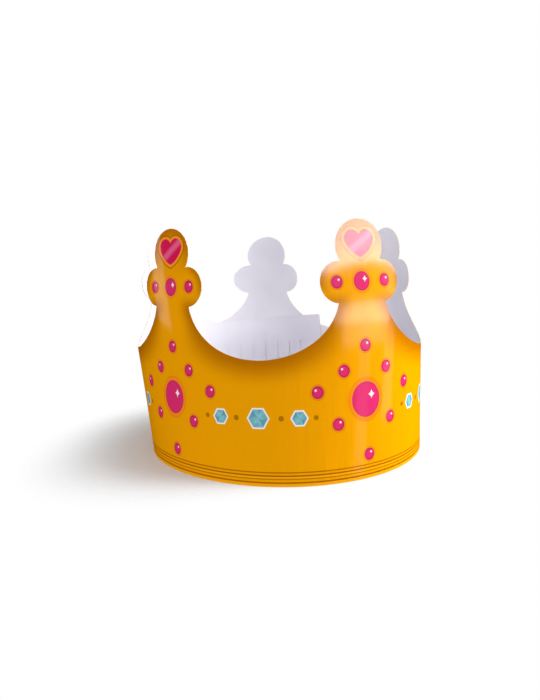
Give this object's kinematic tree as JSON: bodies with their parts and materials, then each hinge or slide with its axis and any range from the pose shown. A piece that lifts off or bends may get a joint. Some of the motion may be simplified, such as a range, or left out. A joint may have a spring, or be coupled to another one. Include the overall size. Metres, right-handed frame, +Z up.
{
  "type": "paper crown",
  "caption": "Card party crown: one printed strip with trefoil points, closed into a ring by a tongue in a slit.",
  "frame": {"origin": "middle of the outline seen from above, on the plane the bottom edge rests on", "axes": "+Z up, -Y the wearer's front where the middle point of the strip stands, +X the wearer's left"},
  "size_m": [0.179, 0.2005, 0.1427],
  "materials": {
    "printed_card": "gloss laminated print outside, matt white inside"
  },
  "bodies": {
    "root": {"crown_card": "printed_card"}
  },
  "joints": []
}
